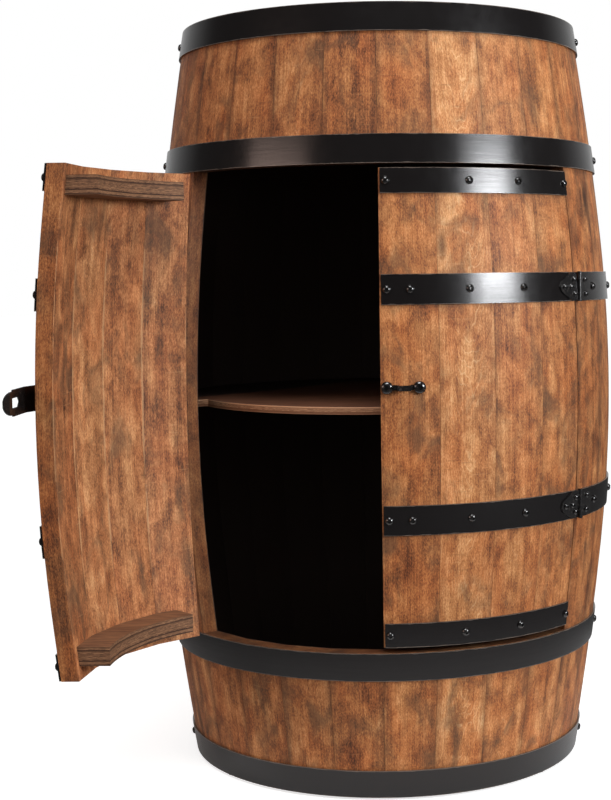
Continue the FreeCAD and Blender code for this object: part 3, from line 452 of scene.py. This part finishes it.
def shelf_plywood(name, foot, top):
    """Thin plywood shelf: light plies along its front, brown on top, black at the back and the sides."""
    m = new_material(name)
    place = add(m, "TexCoord", output="Object")
    base = plies(m, place, foot, SHELF_PLY, "#7c5038", "#dcab84")
    x = add(m, "SeparateXYZ", {0: place}, output=0)
    y, z = x.node.outputs[1], x.node.outputs[2]
    arris = add(m, "Math", {0: z, 1: top - 0.0011}, operation="GREATER_THAN")
    base = add(m, "Mix", {"Factor": arris, 6: base, 7: linear("#e0b18c")}, output=2, data_type="RGBA")
    grain = add(m, "VectorMath", {0: place, 1: (0.05, 0.003, 0.05)}, operation="DIVIDE")
    veneer = add(m, "TexNoise", {"Vector": grain, "Scale": 1.0, "Detail": 4.0, "Roughness": 0.6})
    veneer = add(m, "MapRange", {"Value": veneer, "From Min": 0.3, "From Max": 0.7})
    veneer = add(m, "Mix", {"Factor": veneer, 6: linear("#543426"), 7: linear("#8c5f48")}, output=2,
                 data_type="RGBA")
    # the top is black behind a curved edge and at both sides, in the inside's black colour
    side = add(m, "Math", {0: x}, operation="ABSOLUTE")
    side = add(m, "Math", {0: side, 1: BLACK_TOP_OUT}, operation="SUBTRACT")
    bend = add(m, "Math", {0: side, 1: side}, operation="MULTIPLY")
    edge = add(m, "Math", {0: side, 1: -BLACK_TOP_SLOPE, 2: BLACK_TOP_EDGE}, operation="MULTIPLY_ADD")
    edge = add(m, "Math", {0: bend, 1: BLACK_TOP_BEND, 2: edge}, operation="MULTIPLY_ADD")
    edge = add(m, "Math", {0: edge, 1: BLACK_TOP_BACK}, operation="MINIMUM")
    beyond = add(m, "Math", {0: y, 1: edge}, operation="SUBTRACT")
    black_mask = add(m, "MapRange", {"Value": beyond, "From Min": -0.002, "From Max": 0.003})
    veneer = add(m, "Mix", {"Factor": black_mask, 6: veneer, 7: linear(INSIDE_BLACK)}, output=2,
                 data_type="RGBA")
    normal = add(m, "TexCoord", output="Normal")
    facing = add(m, "SeparateXYZ", {0: normal}, output=2)
    upper = add(m, "Math", {0: facing, 1: 0.8}, operation="GREATER_THAN")
    base = add(m, "Mix", {"Factor": upper, 6: base, 7: veneer}, output=2, data_type="RGBA")
    under = add(m, "Math", {0: facing, 1: -0.8}, operation="LESS_THAN")
    base = add(m, "Mix", {"Factor": under, 6: base, 7: linear(INSIDE_BLACK)}, output=2,
               data_type="RGBA")
    finish_surface(m, base, 0.6, 0.25)
    return m


# ---- steel --------------------------------------------------------------------------------
BAND_WEAR = 90.0            # cells a metre: worn stretches about 11 mm long
FITTING_WEAR = 400.0        # worn spots of 2.5 mm
PAINT_CLOUDS = 60.0         # clouds of about 17 mm


def black_band(name, low, high):
    """Rolled steel hoop in satin black enamel: a crisp lamp reflection, edges painted lighter grey,
    partly rubbed enamel and partly a painted highlight on the arris.
    """
    m = new_material(name)
    place = add(m, "TexCoord", output="Object")
    z = add(m, "SeparateXYZ", {0: place}, output=2)
    # the edges are painted lighter grey: partly worn enamel, partly a painted highlight where a rounded
    # arris would catch the lamps
    from_low = add(m, "Math", {0: z, 1: low}, operation="SUBTRACT")
    from_high = add(m, "Math", {0: high, 1: z}, operation="SUBTRACT")
    edge = add(m, "Math", {0: from_low, 1: from_high}, operation="MINIMUM")
    worn = add(m, "TexNoise", {"Vector": place, "Scale": BAND_WEAR, "Detail": 4.0, "Roughness": 0.65})
    reach = add(m, "MapRange", {"Value": worn, "From Min": 0.35, "From Max": 0.7, "To Min": 0.0002,
                                "To Max": 0.0011})
    grey_wear_and_glint = add(m, "Math", {0: edge, 1: reach}, operation="LESS_THAN")
    grey_wear_and_glint = add(m, "Math", {0: grey_wear_and_glint, 1: 0.6}, operation="MULTIPLY")
    base = add(m, "Mix", {"Factor": grey_wear_and_glint, 6: linear("#110e0e"), 7: linear("#76695f")}, output=2,
               data_type="RGBA")
    # marks of the rolls run round the band, about 3 mm apart
    rolled = add(m, "VectorMath", {0: place, 1: (0.06, 0.06, 0.003)}, operation="DIVIDE")
    rolled = add(m, "TexNoise", {"Vector": rolled, "Scale": 1.0, "Detail": 3.0, "Roughness": 0.6})
    bump = add(m, "Bump", {"Height": rolled, "Strength": 0.15, "Distance": 0.0003})
    gloss = add(m, "MapRange", {"Value": worn, "To Min": 0.15, "To Max": 0.27})
    finish_surface(m, base, gloss, 0.64, bump)
    return m


def black_fitting(name, roughness):
    """Small steel parts, blackened: near black with a grey glint on worn spots."""
    m = new_material(name)
    place = add(m, "TexCoord", output="Object")
    worn = add(m, "TexNoise", {"Vector": place, "Scale": FITTING_WEAR, "Detail": 3.0, "Roughness": 0.7})
    grey_wear_and_glint = add(m, "MapRange", {"Value": worn, "From Min": 0.58, "From Max": 0.72, "To Max": 0.45})
    base = add(m, "Mix", {"Factor": grey_wear_and_glint, 6: linear("#0c0a0a"), 7: linear("#6a605a")}, output=2,
               data_type="RGBA")
    bump = add(m, "Bump", {"Height": worn, "Strength": 0.15, "Distance": 0.0002})
    finish_surface(m, base, roughness, 1.0, bump)
    return m


def mottled(name, colour, other, roughness):
    """A plain paint or plastic, faintly clouded."""
    m = new_material(name)
    place = add(m, "TexCoord", output="Object")
    cloudy = add(m, "TexNoise", {"Vector": place, "Scale": PAINT_CLOUDS, "Detail": 4.0})
    base = add(m, "Mix", {"Factor": cloudy, 6: linear(colour), 7: linear(other)}, output=2,
               data_type="RGBA")
    finish_surface(m, base, roughness, 0.3)
    return m


# ---- what each node wears -----------------------------------------------------------------
def wear(node, material):
    mesh = nodes[node].data
    mesh.materials.clear()
    mesh.materials.append(material)


carcass_birch = stained_birch("carcass_birch", painted_inside=True)
door_birch = stained_birch("door_birch")
open_door_birch = stained_birch("open_door_birch", on_open_door=True)
fitting = black_fitting("blackened_steel", 0.26)
screw_steel = black_fitting("black_oxide_screws", 0.20)
cleat_paint = mottled("inside_black_paint", INSIDE_BLACK, "#1d1613", 0.85)
glide_plastic = mottled("black_polyethylene", "#151414", "#242221", 0.45)

for node in nodes:
    low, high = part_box(node)
    if node in ("back_staves", "upper_front_staves", "lower_front_staves"):
        wear(node, carcass_birch)
    elif "_door_stave_" in node:
        wear(node, open_door_birch if node.startswith("left") else door_birch)
    elif node.endswith("_rib"):
        wear(node, rib_plywood(node + "_plywood", low.z, node.startswith("left")))
    elif node == "shelf":
        wear(node, shelf_plywood("shelf_plywood", low.z, high.z))
    elif node in ("top_head", "bottom_head"):
        wear(node, head_boards(node + "_boards", low.x, (high.x - low.x) / HEAD_BOARDS))
    elif node == "shelf_cleats":
        wear(node, cleat_paint)
    elif node == "glides":
        wear(node, glide_plastic)
    elif node.endswith("_hoop") or "_door_strap_" in node:
        wear(node, black_band(node + "_enamel", low.z, high.z))
    elif "screws" in node:
        wear(node, screw_steel)
    else:
        wear(node, fitting)


# ---- glue in the joints -------------------------------------------------------------------
GLUE_WIDTH = 0.0009
GLUE_INSET = 0.003          # from the ends of a joint
GLUE_STEPS = 24
GLUE_BROWN = "#2b1c14"


def skin_radius(height):
    """The staves' outside radius at a height."""
    share = (height - MIDDLE) / HALF_HEIGHT
    return BELLY_RADIUS - SKIN_BEND * (math.sqrt(share ** 2 + SKIN_REACH ** 2) - SKIN_REACH)


def glue_lines(name, body, joints, swing=None):
    """Ribbons of dark glue halfway into the wood, one in each (joint number, low, high)."""
    m = new_material(name + "_glue")
    finish_surface(m, linear(GLUE_BROWN), 0.7, 0.2)
    ribbons = bmesh.new()
    for number, low, high in joints:
        grid = bmesh.ops.create_grid(ribbons, x_segments=1, y_segments=GLUE_STEPS, size=1.0)
        azimuth = number * STAVE_TURN
        for corner in grid["verts"]:
            height = low + GLUE_INSET + (high - low - 2 * GLUE_INSET) * (corner.co.y + 1) / 2
            across = corner.co.x * GLUE_WIDTH / 2
            radius = skin_radius(height) - STAVE_THICKNESS / 2
            corner.co = Vector((radius * math.sin(azimuth) + across * math.cos(azimuth),
                                across * math.sin(azimuth) - radius * math.cos(azimuth), height))
    if swing:
        bmesh.ops.rotate(ribbons, cent=LEFT_HINGE, matrix=swing, verts=ribbons.verts)
    mesh = bpy.data.meshes.new(name)
    ribbons.to_mesh(mesh)
    ribbons.free()
    mesh.materials.append(m)
    glue = bpy.data.objects.new(name, mesh)
    bpy.context.scene.collection.objects.link(glue)
    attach(glue, body)


def span(node):
    """The lowest and highest point of a node."""
    low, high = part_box(node)
    return low.z, high.z


# joints are counted from the doors' meeting line, to the right; the jambs' own have no ribbon
door_joints = range(1, DOOR_STAVES)
back_joints = [(number, *span("back_staves"))
               for number in range(DOOR_STAVES + 1, STAVE_COUNT - DOOR_STAVES)]
front_joints = [(number, *span(node)) for number in range(1 - DOOR_STAVES, DOOR_STAVES)
                for node in ("upper_front_staves", "lower_front_staves")]
glue_lines("carcass_glue_lines", "carcass", back_joints + front_joints)
glue_lines("right_door_glue_lines", "right_door",
           [(number, *span("right_door_stave_2")) for number in door_joints])
glue_lines("left_door_glue_lines", "left_door",
           [(-number, *span("left_door_stave_2")) for number in door_joints],
           Matrix.Rotation(-DOOR_TURN, 3, "Z"))

# ---- floor, world and lamps ---------------------------------------------------------------
FLOOR_HALF = 20.0
PALE_EDGE, DIM_EDGE = 0.34, 0.62        # from the axis: the pale floor ends, the dim one begins
PALE_FLOOR, DIM_FLOOR = 0.70, 0.10      # how much light they give back
PALE_GLOW, DIM_GLOW = 0.72, 1.0         # added for the camera alone, where 1 is white

floor_mesh = bpy.data.meshes.new("floor")
plane = bmesh.new()
bmesh.ops.create_grid(plane, x_segments=1, y_segments=1, size=FLOOR_HALF)
plane.to_mesh(floor_mesh)
plane.free()
floor = bpy.data.objects.new("floor", floor_mesh)
bpy.context.scene.collection.objects.link(floor)
white = new_material("white_floor")
seen = add(white, "LightPath", output="Is Camera Ray")
# the camera sees a white floor with a faint shadow; to the lamps it is pale under the cabinet and
# dim further out, so that the bands mirror a dim room
spot = add(white, "TexCoord", output="Object")
away = add(white, "VectorMath", {0: spot}, output=1, operation="LENGTH")
pale_floor = add(white, "MapRange", {"Value": away, "From Min": PALE_EDGE, "From Max": DIM_EDGE,
                                     "To Min": PALE_FLOOR, "To Max": DIM_FLOOR})
lift = add(white, "MapRange", {"Value": away, "From Min": PALE_EDGE, "From Max": DIM_EDGE,
                               "To Min": PALE_GLOW, "To Max": DIM_GLOW})
lift = add(white, "Math", {0: seen, 1: lift}, operation="MULTIPLY")
diffuse = add(white, "BsdfDiffuse", {"Color": pale_floor})
extra = add(white, "Emission", {"Color": (1, 1, 1, 1), "Strength": lift})
both = add(white, "AddShader", {0: diffuse, 1: extra})
add(white, "OutputMaterial", {"Surface": both}, output=None)
floor_mesh.materials.append(white)

WALL, ROOM, FILL = 0.62, 0.06, 0.44     # strengths, where 1 is white

world = bpy.data.worlds.new("studio")
bpy.context.scene.world = world
world.use_nodes = True
world.node_tree.nodes.clear()
path = add(world, "LightPath", output="Is Camera Ray")
glossy, through = path.node.outputs["Is Glossy Ray"], path.node.outputs["Is Transmission Ray"]
direction = add(world, "TexCoord", output="Generated")
ahead = add(world, "SeparateXYZ", {0: direction}, output=1)
# the camera sees white; reflections see a pale wall behind the cabinet and a dim room in front
wall = add(world, "MapRange", {"Value": ahead, "From Min": 0.35, "From Max": 0.95, "To Min": ROOM,
                               "To Max": WALL})
shown = add(world, "Math", {0: glossy, 1: through}, operation="MAXIMUM")
shown = add(world, "Math", {0: shown, 1: wall}, operation="MULTIPLY")
shown = add(world, "Math", {0: shown, 1: path}, operation="MAXIMUM")
rest = add(world, "Math", {0: path, 1: glossy}, operation="MAXIMUM")
rest = add(world, "Math", {0: 1.0, 1: rest}, operation="SUBTRACT")
strength = add(world, "Math", {0: rest, 1: FILL, 2: shown}, operation="MULTIPLY_ADD")
sky = add(world, "Background", {"Color": (1, 1, 1, 1), "Strength": strength})
add(world, "OutputWorld", {"Surface": sky}, output=None)


AIM = Vector((0, 0, 0.5))


def softbox(name, azimuth, elevation, distance, width, height, power, colour):
    """A rectangular soft lamp aimed at the axis, at degrees round from the front and up from level."""
    lamp = bpy.data.lights.new(name, "AREA")
    lamp.shape = "RECTANGLE"
    lamp.size, lamp.size_y = width, height
    lamp.energy = power
    lamp.color = linear(colour)[:3]
    turn, rise = math.radians(azimuth), math.radians(elevation)
    out = Vector((math.sin(turn) * math.cos(rise), -math.cos(turn) * math.cos(rise), math.sin(rise)))
    lit = bpy.data.objects.new(name, lamp)
    lit.matrix_world = (Matrix.Translation(AIM + out * distance)
                        @ out.to_track_quat("Z", "Y").to_matrix().to_4x4())
    bpy.context.scene.collection.objects.link(lit)


softbox("key_softbox_heart", 55.5, 11.5, 2.2, 0.64, 0.46, 18, "#fafcff")
softbox("key_softbox", 55.5, 11, 2.25, 1.06, 0.70, 17, "#fafcff")
softbox("fill_softbox", -51, 12, 2.4, 1.3, 0.6, 10, "#ffdccd")
softbox("overhead_softbox", 8, 60, 2.2, 1.0, 0.9, 27, "#ffffff")

# ---- the view transform, and the end ------------------------------------------------------
bpy.context.scene.view_settings.view_transform = "Standard"
